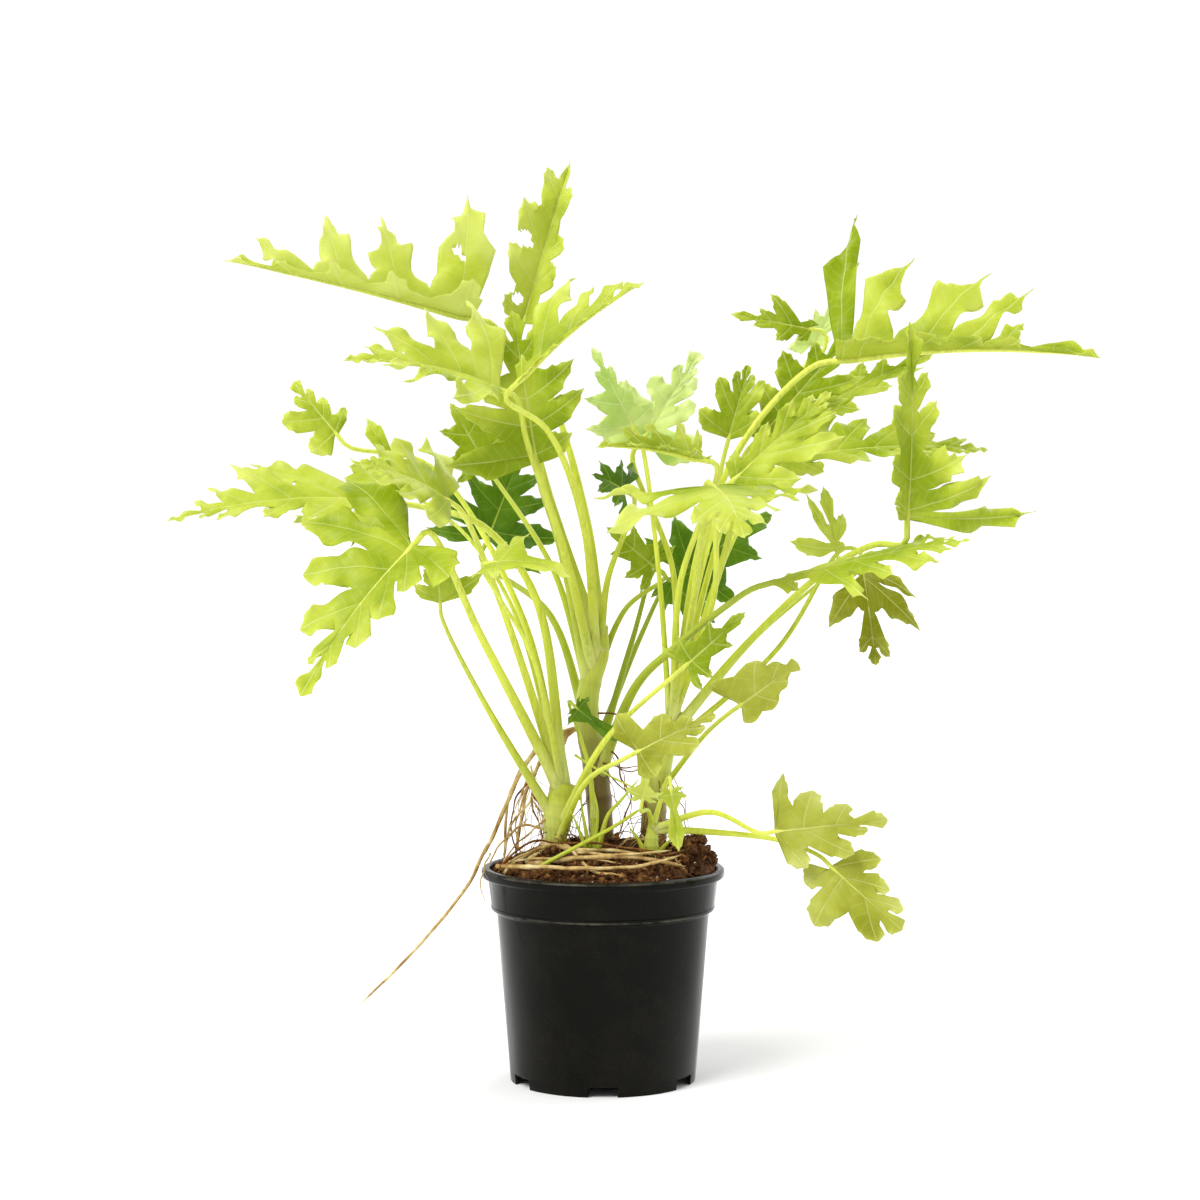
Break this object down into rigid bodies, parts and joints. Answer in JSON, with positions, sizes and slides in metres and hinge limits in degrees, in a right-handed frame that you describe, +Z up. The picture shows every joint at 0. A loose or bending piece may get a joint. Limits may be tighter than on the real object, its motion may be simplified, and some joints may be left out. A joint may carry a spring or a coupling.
{
  "type": "potted philodendron",
  "caption": "Bushy potted philodendron: deeply cut golden-green leaves on long petioles from short crowns, roots over the soil, black nursery pot.",
  "frame": {"origin": "on the floor, at the centre of the flat pad under the middle of the pot", "axes": "+Z up along the pot's axis; +X to the right and +Y away as the plant is seen from its front, where the two low olive leaves hang out to the right"},
  "size_m": [0.7841, 0.3756, 0.7991],
  "materials": {
    "pot": "satin",
    "soil": "matte",
    "root": "matte",
    "stem": "satin",
    "blade_gold": "satin",
    "blade_mint": "satin",
    "blade_olive": "satin",
    "blade_shade": "satin"
  },
  "bodies": {
    "root": {"crown_centre": "stem", "crown_front": "stem", "crown_left": "stem", "crown_right": "stem", "crown_shoot": "stem", "leaf_behind_left": "blade_gold", "leaf_butterfly": "blade_gold", "leaf_centre": "blade_gold", "leaf_crest": "blade_gold", "leaf_dark_inner": "blade_shade", "leaf_dark_left": "blade_shade", "leaf_dark_lower": "blade_shade", "leaf_dark_upper": "blade_shade", "leaf_fan_right": "blade_gold", "leaf_far_left": "blade_gold", "leaf_folded": "blade_gold", "leaf_front": "blade_gold", "leaf_hanging": "blade_olive", "leaf_hood": "blade_gold", "leaf_inner": "blade_gold", "leaf_left_low": "blade_gold", "leaf_left_middle": "blade_gold", "leaf_left_narrow": "blade_gold", "leaf_left_small": "blade_gold", "leaf_left_upper": "blade_gold", "leaf_low_right": "blade_olive", "leaf_lowest": "blade_olive", "leaf_mint": "blade_mint", "leaf_mint_left": "blade_mint", "leaf_olive_back": "blade_gold", "leaf_peak": "blade_gold", "leaf_peak_small": "blade_mint", "leaf_right_back": "blade_gold", "leaf_right_edge": "blade_gold", "leaf_right_fork": "blade_gold", "leaf_right_level": "blade_gold", "leaf_right_long": "blade_gold", "leaf_right_low": "blade_olive", "leaf_right_shade": "blade_gold", "leaf_right_upper": "blade_gold", "leaf_right_upright": "blade_gold", "leaf_seedling": "blade_gold", "leaf_shade": "blade_shade", "leaf_sweep_left": "blade_gold", "leaf_sweep_right": "blade_gold", "leaf_tongue": "blade_gold", "leaf_top_left": "blade_gold", "pot": "pot", "root_aerial": "root", "root_mat": "root", "soil": "soil"}
  },
  "joints": []
}
